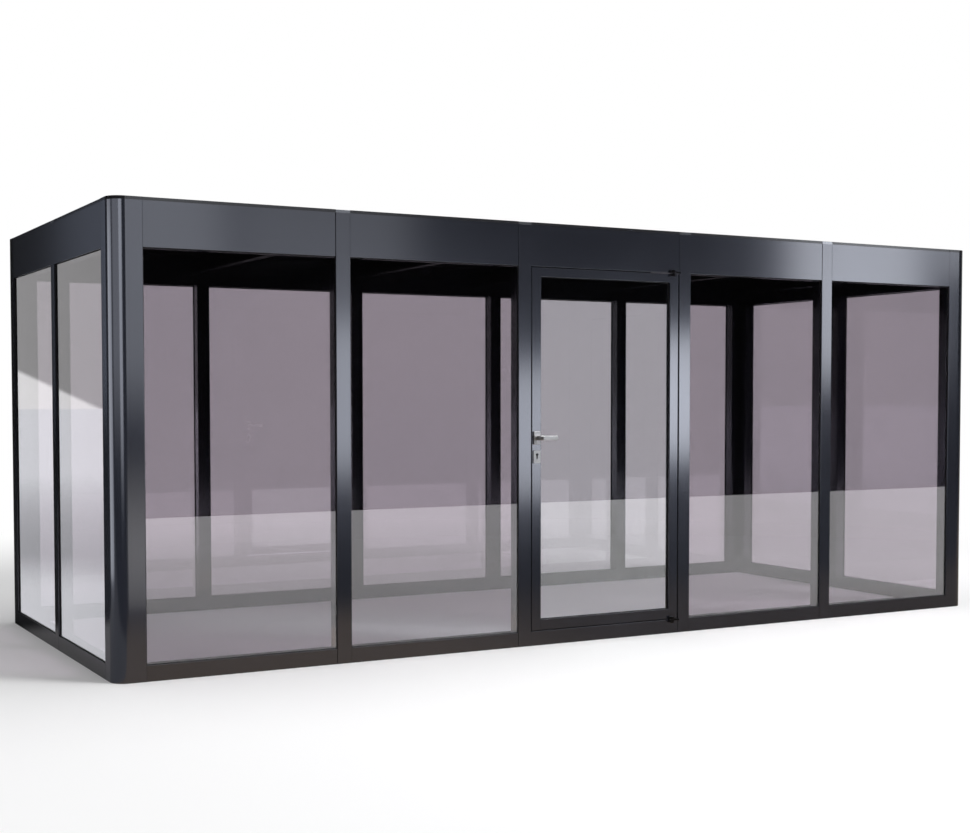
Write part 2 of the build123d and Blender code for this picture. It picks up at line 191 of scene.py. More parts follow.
class Wiring:
    """Adds and joins the nodes of one node tree."""

    # Places of the colour sockets on Blender's Mix node, which has some of each name.
    mix_colours = (6, 7)
    mix_result = 2

    def __init__(self, tree: bpy.types.NodeTree) -> None:
        """Takes the tree to work on.

        Args:
            tree: Node tree of a material, a lamp or the world.
        """
        self.tree = tree

    def add(self, kind: str, **settings: object) -> Node:
        """Adds a node.

        Args:
            kind: Blender's type name of the node.
            settings: Properties to set on it.

        Returns:
            The new node.
        """
        node = self.tree.nodes.new(kind)
        for name, value in settings.items():
            setattr(node, name, value)
        return node

    def feed(self, socket: Socket, value: Feed) -> None:
        """Joins a socket to another, or sets its own value.

        Args:
            socket: Input socket.
            value: An output socket, a number or a colour.
        """
        if isinstance(value, Socket):
            self.tree.links.new(value, socket)
        elif isinstance(value, tuple) and len(socket.default_value) == 4:
            socket.default_value = (*value, 1.0)
        else:
            socket.default_value = value

    def place(self) -> Socket:
        """Places on the piece, in its own coordinates."""
        return self.add("ShaderNodeTexCoord").outputs["Object"]

    def noise(self, pattern: Pattern) -> Socket:
        """A noise pattern on the piece.

        Args:
            pattern: The pattern's settings.

        Returns:
            The pattern's value, about 0.5 on average.
        """
        mapping = self.add("ShaderNodeMapping")
        self.feed(mapping.inputs["Vector"], self.place())
        self.feed(mapping.inputs["Scale"], pattern.stretch)
        noise = self.add("ShaderNodeTexNoise")
        self.feed(noise.inputs["Vector"], mapping.outputs["Vector"])
        self.feed(noise.inputs["Scale"], pattern.scale)
        self.feed(noise.inputs["Detail"], pattern.detail)
        return noise.outputs["Fac"]

    def fade(self, value: Socket, start: Span, end: Span) -> Socket:
        """A smooth change from one range of values to another, held at its ends.

        Args:
            value: The value to change.
            start: Its low and high end.
            end: What those ends become.

        Returns:
            The new value.
        """
        node = self.add("ShaderNodeMapRange", interpolation_type="SMOOTHSTEP")
        self.feed(node.inputs["Value"], value)
        for name, number in zip(("From Min", "From Max", "To Min", "To Max"), (*start, *end)):
            self.feed(node.inputs[name], number)
        return node.outputs["Result"]

    def combine(self, operation: Operation, first: Feed, second: Feed = 0.0) -> Socket:
        """Values joined by an operation.

        Args:
            operation: The operation.
            first: A value or a socket.
            second: A value or a socket.

        Returns:
            The result.
        """
        node = self.add("ShaderNodeMath", operation=operation.value)
        self.feed(node.inputs[0], first)
        self.feed(node.inputs[1], second)
        return node.outputs["Value"]

    def plus(self, first: Feed, second: Feed) -> Socket:
        """Both values together."""
        return self.combine(Operation.ADD, first, second)

    def less(self, first: Feed, second: Feed) -> Socket:
        """The first value less the second."""
        return self.combine(Operation.SUBTRACT, first, second)

    def times(self, first: Feed, second: Feed) -> Socket:
        """The first value times the second."""
        return self.combine(Operation.MULTIPLY, first, second)

    def larger(self, first: Feed, second: Feed) -> Socket:
        """The larger of two values."""
        return self.combine(Operation.MAXIMUM, first, second)

    def blend(self, share: Feed, first: Feed, second: Feed) -> Socket:
        """A mix of two colours.

        Args:
            share: Share of the second colour.
            first: A colour or a socket.
            second: A colour or a socket.

        Returns:
            The mixed colour.
        """
        node = self.add("ShaderNodeMix", data_type="RGBA")
        self.feed(node.inputs[0], share)
        for number, colour in zip(self.mix_colours, (first, second)):
            self.feed(node.inputs[number], colour)
        return node.outputs[self.mix_result]

    def mixed(self, share: Socket, first: Node, second: Node) -> Node:
        """A mix of two shaders.

        Args:
            share: Share of the second shader.
            first: Node of the first shader.
            second: Node of the second shader.

        Returns:
            The mixing node.
        """
        node = self.add("ShaderNodeMixShader")
        for socket, value in zip(node.inputs, (share, first.outputs[0], second.outputs[0])):
            self.feed(socket, value)
        return node

    def parts(self, vector: Socket) -> tuple[Socket, ...]:
        """The parts of a vector along X, Y and Z.

        Args:
            vector: The vector.

        Returns:
            Its three parts.
        """
        node = self.add("ShaderNodeSeparateXYZ")
        self.feed(node.inputs[0], vector)
        return tuple(node.outputs)

    def bump(self, height: Socket, strength: float, distance: float) -> Socket:
        """A bumpy normal.

        Args:
            height: Height pattern.
            strength: Strength from 0 to 1.
            distance: Height of the pattern.

        Returns:
            The normal.
        """
        node = self.add("ShaderNodeBump")
        self.feed(node.inputs["Height"], height)
        self.feed(node.inputs["Strength"], strength)
        self.feed(node.inputs["Distance"], distance)
        return node.outputs["Normal"]


class Coat(Wiring):
    """Nodes of one material around its Principled shader."""

    def __init__(self, name: str) -> None:
        """Starts the material.

        Args:
            name: Its name.
        """
        self.material: Material = bpy.data.materials.new(name)
        self.material.use_nodes = True
        super().__init__(self.material.node_tree)
        self.shader: Node = self.tree.nodes["Principled BSDF"]

    def set(self, **inputs: Feed) -> None:
        """Feeds inputs of the shader, named in lower case with underscores.

        Args:
            inputs: Values or sockets by input name.
        """
        for name, value in inputs.items():
            label = name.replace("_", " ").title().replace("Ior", "IOR")
            self.feed(self.shader.inputs[label], value)

    def show(self, shader: Node) -> None:
        """Lets another shader be the material's surface, in place of its own."""
        self.feed(self.tree.nodes["Material Output"].inputs["Surface"], shader.outputs[0])


class Finish(Protocol):
    """A finish that can make its material."""

    slot: Slot

    def material(self) -> Material:
        """The finish as a Blender material."""


@dataclass(frozen=True)
class SatinPaint:
    """Stove-enamelled aluminium: a faint cloud in the colour, fine grain, a little dust near the ground."""

    slot: Slot
    deep: Colour
    light: Colour
    metal: float = 0.5
    coat: float = 1.0
    coat_roughness: float = 0.085
    roughness: Span = (0.15, 0.18)
    cloud: Pattern = Pattern(0.9)
    sheen: Pattern = Pattern(1.7, 3.0)
    grain: Pattern = Pattern(420.0, 1.0)
    relief: Span = (0.03, 0.0003)
    dust: Colour = (0.10, 0.085, 0.07)
    dust_share: float = 0.05
    dust_height: float = 0.2
    specks: Pattern = Pattern(9.0, 3.0)
    speck_shares: Span = (0.5, 1.0)

    def material(self) -> Material:
        """The paint as a Blender material.

        Returns:
            The material.
        """
        coat = Coat(self.slot.finish())
        tone = coat.blend(coat.fade(coat.noise(self.cloud), NOISE, SHARE), self.deep, self.light)
        _, _, height = coat.parts(coat.place())
        settled = coat.fade(height, (0.0, self.dust_height), (self.dust_share, 0.0))
        dusty = coat.times(settled, coat.fade(coat.noise(self.specks), NOISE, self.speck_shares))
        gloss = coat.fade(coat.noise(self.sheen), NOISE, self.roughness)
        coat.set(base_color=coat.blend(dusty, tone, self.dust), metallic=self.metal)
        coat.set(roughness=coat.plus(gloss, dusty))
        coat.set(coat_weight=self.coat, coat_roughness=self.coat_roughness)
        coat.set(normal=coat.bump(coat.noise(self.grain), *self.relief))
        return coat.material


@dataclass(frozen=True)
class RoofCoat:
    """Coated roof sheet: weathered on top, with near-black painted shade on its underside."""

    slot: Slot
    top: Colour = (0.050, 0.052, 0.058)
    worn: Colour = (0.058, 0.059, 0.064)
    # Near-black painted shade for the underside, which stands in for the dark inside of the roof.
    under: Colour = (0.010, 0.010, 0.011)
    patches: Pattern = Pattern(7.0, 5.0)
    patch_range: Span = (0.35, 0.7)
    upturn: Span = (-0.1, 0.3)
    blots: Pattern = Pattern(14.0, 4.0)
    roughness: Span = (0.55, 0.60)
    specular: float = 0.25
    grain: Pattern = Pattern(160.0)
    relief: Span = (0.08, 0.0006)

    def material(self) -> Material:
        """The sheet's finish as a Blender material.

        Returns:
            The material.
        """
        coat = Coat(self.slot.finish())
        patches = coat.fade(coat.noise(self.patches), self.patch_range, SHARE)
        weathered = coat.blend(patches, self.top, self.worn)
        # Faces turned down get the near-black painted shade, and faces turned up get the weathered top.
        _, _, facing = coat.parts(coat.add("ShaderNodeNewGeometry").outputs["Normal"])
        upward = coat.fade(facing, self.upturn, SHARE)
        coat.set(base_color=coat.blend(upward, self.under, weathered), metallic=0.0)
        coat.set(roughness=coat.fade(coat.noise(self.blots), NOISE, self.roughness))
        coat.set(specular_ior_level=self.specular)
        coat.set(normal=coat.bump(coat.noise(self.grain), *self.relief))
        return coat.material


@dataclass(frozen=True)
class TintedGlass:
    """Grey solar-control glass that lets lamp light through by its own tint."""

    slot: Slot
    tint: Colour
    deep_tint: Colour
    index: float = 1.9
    cloud: Pattern = Pattern(0.7)
    cloud_range: Span = (0.35, 0.65)
    waves: Pattern = Pattern(1.4, 1.0)
    relief: Span = (0.02, 0.002)

    def material(self) -> Material:
        """The glass as a Blender material.

        Returns:
            The material.
        """
        coat = Coat(self.slot.finish())
        cloud = coat.fade(coat.noise(self.cloud), self.cloud_range, SHARE)
        coat.set(base_color=coat.blend(cloud, self.tint, self.deep_tint), metallic=0.0, roughness=0.0)
        coat.set(ior=self.index, transmission_weight=1.0)
        coat.set(normal=coat.bump(coat.noise(self.waves), *self.relief))
        lamps = coat.add("ShaderNodeBsdfTransparent")
        coat.feed(lamps.inputs["Color"], self.tint)
        shadow = coat.add("ShaderNodeLightPath").outputs["Is Shadow Ray"]
        coat.show(coat.mixed(shadow, coat.shader, lamps))
        return coat.material


@dataclass(frozen=True)
class SealRubber:
    """Black glazing rubber, matt, with a little bloom."""

    slot: Slot
    fresh: Colour = (0.010, 0.010, 0.011)
    bloom: Colour = (0.024, 0.024, 0.025)
    patches: Pattern = Pattern(8.0, 4.0)
    patch_range: Span = (0.4, 0.7)
    roughness: Span = (0.5, 0.68)
    grain: Pattern = Pattern(500.0, 1.0)
    relief: Span = (0.1, 0.0003)

    def material(self) -> Material:
        """The rubber as a Blender material.

        Returns:
            The material.
        """
        coat = Coat(self.slot.finish())
        patches = coat.fade(coat.noise(self.patches), self.patch_range, SHARE)
        coat.set(base_color=coat.blend(patches, self.fresh, self.bloom), metallic=0.0)
        coat.set(roughness=coat.fade(patches, SHARE, self.roughness))
        coat.set(normal=coat.bump(coat.noise(self.grain), *self.relief))
        return coat.material


@dataclass(frozen=True)
class BrushedMetal:
    """Brushed metal with fine lines along X and handling marks."""

    slot: Slot
    bright: Colour
    dull: Colour
    roughness: Span = (0.26, 0.38)
    metal: float = 1.0
    marks: Pattern = Pattern(30.0, 4.0)
    mark_range: Span = (0.4, 0.7)
    smudges: Pattern = Pattern(60.0, 3.0)
    lines: Pattern = Pattern(900.0, 1.0, (0.04, 1.0, 1.0))
    relief: Span = (0.12, 0.0002)

    def material(self) -> Material:
        """The metal as a Blender material.

        Returns:
            The material.
        """
        coat = Coat(self.slot.finish())
        marks = coat.fade(coat.noise(self.marks), self.mark_range, SHARE)
        coat.set(base_color=coat.blend(marks, self.bright, self.dull), metallic=self.metal)
        coat.set(roughness=coat.fade(coat.noise(self.smudges), NOISE, self.roughness))
        coat.set(normal=coat.bump(coat.noise(self.lines), *self.relief))
        return coat.material


@dataclass
class FinishRack:
    """The finishes of the part, each made once."""

    finishes: Sequence[Finish]
    made: dict[Slot, Material] = field(default_factory=dict)

    def get(self, slot: Slot) -> Material:
        """The material of a slot, made at its first use.

        Args:
            slot: The slot asked for.

        Returns:
            Its material.
        """
        if slot not in self.made:
            finish = next(f for f in self.finishes if f.slot is slot)
            self.made[slot] = finish.material()
        return self.made[slot]

    def dress(self, names: Iterable[str]) -> list[Piece]:
        """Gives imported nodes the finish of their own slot.

        Args:
            names: Names of the nodes.

        Returns:
            The nodes.
        """
        nodes = [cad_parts[name] for name in names]
        for node in nodes:
            for holder in node.material_slots:
                holder.material = self.get(Slot(holder.material.name.split(".")[0]))
        return nodes

    def fit(self, piece: Piece, slot: Slot, body: Body) -> Piece:
        """Finishes a new piece and seats it on its body.

        Args:
            piece: The new piece.
            slot: Slot of its finish.
            body: Body that it moves with.

        Returns:
            The same piece.
        """
        piece.data.materials.clear()
        piece.data.materials.append(self.get(slot))
        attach(piece, body.value)
        return piece


class Bench:
    """Hand tools for modelling a piece."""

    @staticmethod
    def clear() -> None:
        """Lets go of everything that is selected."""
        bpy.ops.object.select_all(action="DESELECT")

    @staticmethod
    def block(name: str, low: Point, high: Point) -> Piece:
        """Starts a piece as a box.

        Args:
            name: Name of the piece.
            low: Lowest corner.
            high: Highest corner.

        Returns:
            The box, with its place in its mesh.
        """
        Bench.clear()
        bpy.ops.mesh.primitive_cube_add(size=1.0, location=(Vector(low) + Vector(high)) / 2)
        piece = bpy.context.object
        piece.scale = Vector(high) - Vector(low)
        return Bench.settle(piece, name)

    @staticmethod
    def barrel(name: str, radius: float, height: float, sides: int) -> Piece:
        """Starts a piece as an upright round bar that stands on the origin.

        Args:
            name: Name of the piece.
            radius: Its radius.
            height: Its height.
            sides: Number of sides.

        Returns:
            The bar.
        """
        Bench.clear()
        middle = (0.0, 0.0, height / 2)
        bpy.ops.mesh.primitive_cylinder_add(vertices=sides, radius=radius, depth=height, location=middle)
        return Bench.settle(bpy.context.object, name)

    @staticmethod
    def settle(piece: Piece, name: str) -> Piece:
        """Names a piece and moves its place into its mesh.

        Args:
            piece: The piece, selected alone.
            name: Its name.

        Returns:
            The same piece.
        """
        piece.name = piece.data.name = name
        bpy.ops.object.transform_apply(location=True, rotation=True, scale=True)
        return piece

    @staticmethod
    def take(piece: Piece, element: Element) -> None:
        """Takes a piece in hand alone, with nothing on its mesh selected.

        Args:
            piece: The piece.
            element: What edit mode selects from here on.
        """
        Bench.clear()
        piece.select_set(True)
        bpy.context.view_layer.objects.active = piece
        bpy.ops.object.mode_set(mode="EDIT")
        bpy.ops.mesh.select_mode(type=element.value)
        bpy.ops.mesh.select_all(action="DESELECT")
        bpy.ops.object.mode_set(mode="OBJECT")

    @staticmethod
    def round_edges(piece: Piece, edges: Test, width: float, steps: int) -> None:
        """Rounds the edges that pass a test.

        Args:
            piece: The piece.
            edges: Test of the places of an edge's ends.
            width: Width of the rounding.
            steps: Number of facets across it.
        """
        Bench.take(piece, Element.EDGE)
        points = piece.data.vertices
        for edge in piece.data.edges:
            edge.select = edges(*(points[number].co for number in edge.vertices))
        bpy.ops.object.mode_set(mode="EDIT")
        bpy.ops.mesh.bevel(offset=width, segments=steps, affect="EDGES")
        bpy.ops.object.mode_set(mode="OBJECT")

    @staticmethod
    def step(piece: Piece, faces: Test, margin: float, rise: float) -> None:
        """Insets the faces that pass a test and raises or sinks what is inside.

        Args:
            piece: The piece.
            faces: Test of a face's centre and normal.
            margin: Width of the inset.
            rise: Height of the step, under zero for a recess.
        """
        Bench.take(piece, Element.FACE)
        for polygon in piece.data.polygons:
            polygon.select = faces(polygon.center, polygon.normal)
        bpy.ops.object.mode_set(mode="EDIT")
        bpy.ops.mesh.inset(thickness=margin)
        bpy.ops.mesh.extrude_region_shrink_fatten(TRANSFORM_OT_shrink_fatten={"value": rise})
        bpy.ops.object.mode_set(mode="OBJECT")

    @staticmethod
    def copies(model: Piece, places: Iterable[Matrix], name: str) -> Piece:
        """Repeats a model, each copy with its own mesh, as one piece.

        Args:
            model: The model, which is used up.
            places: Place of each copy.
            name: Name of the piece.

        Returns:
            The piece.
        """
        made = []
        for place in places:
            copy = model.copy()
            copy.data = model.data.copy()
            copy.data.transform(place)
            bpy.context.scene.collection.objects.link(copy)
            made.append(copy)
        bpy.data.objects.remove(model)
        return Bench.join(made, name)

    @staticmethod
    def join(pieces: Sequence[Piece], name: str) -> Piece:
        """Joins pieces into one and shades its round edges smooth.

        Args:
            pieces: The pieces.
            name: Name of the result.

        Returns:
            The joined piece.
        """
        Bench.clear()
        for piece in pieces:
            piece.select_set(True)
        bpy.context.view_layer.objects.active = pieces[0]
        if len(pieces) > 1:
            bpy.ops.object.join()
        joined = bpy.context.object
        joined.name = joined.data.name = name
        bpy.ops.object.shade_smooth_by_angle(angle=SMOOTH_ANGLE)
        return joined


@dataclass(frozen=True)
class Screw:
    """A screw head on an optional washer, standing on the origin."""

    head_radius: float
    head_height: float
    socket_radius: float
    socket_depth: float
    washer_radius: float = 0.0
    washer_height: float = 0.0
    rim: float = 0.0008
    rim_steps: int = 2
    sides: int = 18

    def model(self, name: str) -> Piece:
        """Models the head.

        Args:
            name: Name of the model.

        Returns:
            The model.
        """
        top = self.washer_height + self.head_height - TOUCH
        if self.washer_radius:
            piece = Bench.barrel(name, self.washer_radius, self.washer_height, self.sides)
            ledge = self.washer_radius - self.head_radius
            Bench.step(piece, lambda place, normal: normal.z > FACING, ledge, self.head_height)
        else:
            piece = Bench.barrel(name, self.head_radius, self.head_height, self.sides)
        Bench.round_edges(piece, lambda a, b: min(a.z, b.z) > top, self.rim, self.rim_steps)
        margin = self.head_radius - self.rim - self.socket_radius
        Bench.step(
            piece,
            lambda place, normal: normal.z > FACING and place.z > top and place.xy.length < self.rim,
            margin,
            -self.socket_depth,
        )
        return piece


@dataclass
class SubAssembly:
    """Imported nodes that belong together, with the small fittings that are modelled for them."""

    rack: FinishRack
    nodes: tuple[str, ...] = ()

    def build(self) -> list[Piece]:
        """Dresses the nodes and makes the fittings.

        Returns:
            All pieces of the sub-assembly.
        """
        return [*self.rack.dress(self.nodes), *self.fittings()]

    def fittings(self) -> list[Piece]:
        """The fittings, finished and seated; none unless a sub-assembly has its own."""
        return []


@dataclass
class FrameShell(SubAssembly):
    """Posts, mullions, base rails and fascias, with a rubber bead in the narrow seam beside each mullion."""

    nodes: tuple[str, ...] = (
        "corner_post_front_left", "corner_post_front_right", "corner_post_rear_left",
        "corner_post_rear_right", *MULLIONS, *FASCIAS, "rear_mullions", "end_mullions", "front_sills",
        "door_threshold", "rear_sills", "end_sills", "rear_fascias", "end_fascias",
    )
    bead_setback: float = 0.006
    bead_depth: float = 0.008
    bead_round: float = 0.0012
    bead_steps: int = 3

    def fittings(self) -> list[Piece]:
        """The seam beads."""
        return [self.rack.fit(self.seam_beads(), Slot.RUBBER_SEAL, Body.FRAME)]

    def seams(self) -> list[tuple[Span, Span]]:
        """Seams of the front wall, as spans along X and Z, the lower and the upper one of each mullion.

        Returns:
            Their spans, one pair for each seam.
        """
        sill_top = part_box("front_sills")[1].z
        found = []
        for fascia, mullion in zip(FASCIAS, MULLIONS):
            fascia_low, fascia_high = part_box(fascia)
            along = (fascia_high.x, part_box(mullion)[0].x)
            found += [(along, (0.0, sill_top)), (along, (fascia_low.z, fascia_high.z))]
        return found

    def bead(self, along: Span, up: Span, face: float, wall: Wall) -> Piece:
        """One bead in a seam, made as on the front wall and turned to its own.

        Args:
            along: Its ends across the seam.
            up: Its lower and upper end.
            face: Place of the wall's outer face along Y.
            wall: Wall that it belongs to.

        Returns:
            The bead, its front edges rounded.
        """
        front = face + self.bead_setback
        low, high = (along[0], front, up[0]), (along[1], front + self.bead_depth, up[1])
        piece = Bench.block("seam_bead", low, high)
        Bench.round_edges(piece, lambda a, b: max(a.y, b.y) < front + TOUCH, self.bead_round, self.bead_steps)
        piece.data.transform(wall.turn())
        return piece

    def seam_beads(self) -> Piece:
        """The beads of all four walls as one piece.

        Returns:
            The piece.
        """
        seams = self.seams()
        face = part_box(FASCIAS[0])[0].y
        made = []
        for along, up in seams:
            made += [self.bead(along, up, face, wall) for wall in (Wall.FRONT, Wall.REAR)]
        end_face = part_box("corner_post_front_left")[0].x
        mullion_low, mullion_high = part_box(MULLIONS[0])
        edge = (mullion_high.x - mullion_low.x) / 2
        start, end = seams[0][0]
        for wall in (Wall.LEFT, Wall.RIGHT):
            made += [self.bead((edge, edge + end - start), up, end_face, wall) for _, up in seams[:2]]
        return Bench.join(made, "seam_beads")


@dataclass
class Glazing(SubAssembly):
    """The fixed panes in their rubber channels."""

    nodes: tuple[str, ...] = ("front_glass", "rear_glass", "end_glass", "wall_gaskets")


@dataclass
class Roof(SubAssembly):
    """Roof trays on their beams, joint covers with their screws, and the edge strips and caps."""

    nodes: tuple[str, ...] = (
        "roof_beams", "roof_panels", "roof_joint_covers", "roof_edge_strips", "mullion_caps", "post_caps",
    )
    screws_in_row: int = 7
    row_offset: float = 0.019
    end_margin: float = 0.06
    screw: Screw = Screw(
        head_radius=0.0052, head_height=0.0034, socket_radius=0.0024, socket_depth=0.0016,
        washer_radius=0.0085, washer_height=0.0014,
    )

    def fittings(self) -> list[Piece]:
        """The cover screws."""
        return [self.rack.fit(self.cover_screws(), Slot.SATIN_SILVER, Body.FRAME)]

    def cover_screws(self) -> Piece:
        """Two rows of screws along each joint cover.

        Returns:
            The piece.
        """
        low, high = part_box("roof_joint_covers")
        first, last = low.y + self.end_margin, high.y - self.end_margin
        pitch = (last - first) / (self.screws_in_row - 1)
        places = []
        for mullion in MULLIONS:
            start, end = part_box(mullion)
            middle = (start.x + end.x) / 2
            for side in (-self.row_offset, self.row_offset):
                for number in range(self.screws_in_row):
                    places.append(Matrix.Translation((middle + side, first + number * pitch, high.z)))
        return Bench.copies(self.screw.model("cover_screw"), places, "roof_cover_screws")


@dataclass
class DoorLeaf(SubAssembly):
    """The glazed door leaf and its stop, with the lock in its edge and the keeper on the mullion."""

    nodes: tuple[str, ...] = (
        "door_lock_stile", "door_hinge_stile", "door_top_rail", "door_bottom_rail", "door_glass",
        "door_gasket", "door_stop",
    )
    forend_height: float = 0.22
    forend_width: float = 0.02
    forend_proud: float = 0.0012
    forend_center: float = 1.1
    latch_height: float = 0.022
    latch_proud: float = 0.0012
    latch_level: float = 1.15
    keeper_height: float = 0.12
    keeper_proud: float = 0.0008
    keeper_rim: float = 0.0045
    plate_round: float = 0.49
    plate_steps: int = 6
    case_span: Span = (1.0, 1.084)
    case_inset: float = 0.004
    case_round: float = 0.001
    seal_thickness: float = 0.002
    seal_margin: float = 0.004
    seal_round: float = 0.0004
    edge_steps: int = 2

    def fittings(self) -> list[Piece]:
        """The seals around the opening, the lock and its keeper.

        Returns:
            The fittings.
        """
        fit = self.rack.fit
        return [
            fit(self.hinge_seal(), Slot.RUBBER_SEAL, Body.FRAME),
            fit(self.stop_seal(), Slot.RUBBER_SEAL, Body.FRAME),
            fit(self.forend(), Slot.SATIN_SILVER, Body.DOOR),
            fit(self.lock_case(), Slot.HINGE_METAL, Body.DOOR),
            fit(self.keeper(), Slot.SATIN_SILVER, Body.FRAME),
        ]

    def plate(self, name: str, along: Span, bottom: float, height: float) -> Piece:
        """A thin upright plate with round ends, in the middle of the lock stile's depth.

        Args:
            name: Name of the plate.
            along: Its two faces along X.
            bottom: Its lower end.
            height: Its height.

        Returns:
            The plate.
        """
        low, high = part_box("door_lock_stile")
        middle, half = (low.y + high.y) / 2, self.forend_width / 2
        front, back = middle - half, middle + half
        piece = Bench.block(name, (along[0], front, bottom), (along[1], back, bottom + height))
        corner = (back - front) * self.plate_round
        Bench.round_edges(piece, lambda a, b: abs(a.x - b.x) > TOUCH, corner, self.plate_steps)
        return piece

    def forend(self) -> Piece:
        """The lock's plate on the edge of the lock stile, with the tip of the latch in it.

        Returns:
            The piece.
        """
        low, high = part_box("door_lock_stile")
        face = low.x - self.forend_proud
        bottom = self.forend_center - self.forend_height / 2
        plate = self.plate("lock_forend", (face, low.x), bottom, self.forend_height)
        middle, reach = (low.y + high.y) / 2, self.forend_width / 4
        rise, tip = self.latch_height / 2, face - self.latch_proud
        latch = Bench.block(
            "latch",
            (tip, middle - reach, self.latch_level - rise),
            (low.x, middle + reach, self.latch_level + rise),
        )
        Bench.round_edges(
            latch, lambda a, b: max(a.x, b.x) < tip + TOUCH, self.latch_proud / 2, self.edge_steps
        )
        return Bench.join([plate, latch], "lock_forend")

    def keeper(self) -> Piece:
        """The plate on the mullion that the latch shuts against, with a sunk pocket.

        Returns:
            The piece.
        """
        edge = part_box("front_mullion_2")[1].x
        bottom = self.latch_level - self.keeper_height / 2
        plate = self.plate("lock_keeper", (edge, edge + self.keeper_proud), bottom, self.keeper_height)
        Bench.step(plate, lambda place, normal: normal.x > FACING, self.keeper_rim, -self.keeper_proud / 2)
        return Bench.join([plate], "lock_keeper")

    def hinge_seal(self) -> Piece:
        """A rubber facing on the mullion beside the hinges, thicker along its middle.

        Returns:
            The piece.
        """
        low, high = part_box("door_hinge_stile")
        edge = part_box("front_mullion_3")[0].x
        rise, margin = self.seal_thickness / 2, self.seal_margin
        crest = edge - self.seal_thickness + TOUCH
        strip = Bench.block(
            "hinge_seal", (edge - rise, low.y + margin, low.z), (edge, high.y - margin, high.z)
        )
        Bench.step(strip, lambda place, normal: normal.x < -FACING, margin, rise)
        Bench.round_edges(strip, lambda a, b: max(a.x, b.x) < crest, self.seal_round, self.edge_steps)
        return Bench.join([strip], "hinge_seal")

    def stop_seal(self) -> Piece:
        """A rubber facing on the front of the stop, thicker along its middle.

        Returns:
            The piece.
        """
        low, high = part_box("door_stop")
        rise = self.seal_thickness / 2
        crest = low.y - self.seal_thickness + TOUCH
        strip = Bench.block("stop_seal", (low.x, low.y - rise, low.z), (high.x, low.y, high.z))
        Bench.step(strip, lambda place, normal: normal.y < -FACING, self.seal_margin, rise)
        Bench.round_edges(strip, lambda a, b: max(a.y, b.y) < crest, self.seal_round, self.edge_steps)
        return Bench.join([strip], "stop_seal")

    def lock_case(self) -> Piece:
        """The lock's case inside the hollow stile, behind the keyhole.

        Returns:
            The piece.
        """
        low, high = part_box("door_lock_stile")
        inset = self.case_inset
        right = (low.x + high.x) / 2 + inset * 2
        bottom, top = self.case_span
        case = Bench.block("lock_case", (low.x + inset, low.y + inset, bottom), (right, high.y - inset, top))
        Bench.round_edges(case, lambda a, b: True, self.case_round, self.edge_steps)
        return Bench.join([case], "lock_case")


@dataclass
class HingeSet(SubAssembly):
    """The two pivot hinges, with domed ends on their pins and screws in their arms."""

    nodes: tuple[str, ...] = ("door_hinge_knuckles", "hinge_brackets")
    knuckle_reach: float = 0.013
    dome_radius: float = 0.0075
    dome_height: float = 0.0045
    dome_round: float = 0.0036
    dome_steps: int = 5
    dome_sides: int = 24
    arm_thickness: float = 0.003
    screw_level: float = 0.004
    screw_places: tuple[float, float] = (0.026, 0.058)
    screw: Screw = Screw(
        head_radius=0.0028, head_height=0.0012, socket_radius=0.0013, socket_depth=0.0008,
        rim=0.0004, sides=16,
    )

    def fittings(self) -> list[Piece]:
        """The pin ends and the screws."""
        made = (self.pin_ends(), self.arm_screws())
        return [self.rack.fit(piece, Slot.HINGE_METAL, Body.FRAME) for piece in made]

    def axis(self) -> Vector:
        """The hinge axis, as a place on the plan."""
        low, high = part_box("door_hinge_knuckles")
        return Vector(((low.x + high.x) / 2, low.y + self.knuckle_reach, 0.0))

    def pin_ends(self) -> Piece:
        """A domed end over the upper pin and one under the lower pin.

        Returns:
            The piece.
        """
        low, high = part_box("hinge_brackets")
        top = self.dome_height - TOUCH
        dome = Bench.barrel("pin_end", self.dome_radius, self.dome_height, self.dome_sides)
        Bench.round_edges(dome, lambda a, b: min(a.z, b.z) > top, self.dome_round, self.dome_steps)
        above = Matrix.Translation(self.axis() + Vector((0, 0, high.z)))
        below = Matrix.Translation(self.axis() + Vector((0, 0, low.z))) @ Matrix.Rotation(math.pi, 4, "X")
        return Bench.copies(dome, (above, below), "hinge_pin_ends")

    def arm_screws(self) -> Piece:
        """Two screws in each hinge arm.

        Returns:
            The piece.
        """
        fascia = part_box("front_fascia_3")[0]
        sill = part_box("door_threshold")[1].z
        face = fascia.y - self.arm_thickness
        turn = Matrix.Rotation(math.pi / 2, 4, "X")
        places = []
        for level in (fascia.z + self.screw_level, sill - self.screw_level):
            for along in self.screw_places:
                places.append(Matrix.Translation((self.axis().x + along, face, level)) @ turn)
        return Bench.copies(self.screw.model("arm_screw"), places, "hinge_arm_screws")


@dataclass
class LeverSet(SubAssembly):
    """The levers, their spindle and the plates behind them."""

    nodes: tuple[str, ...] = ("handle_plates", "lever_outside", "lever_inside", "lever_spindle")


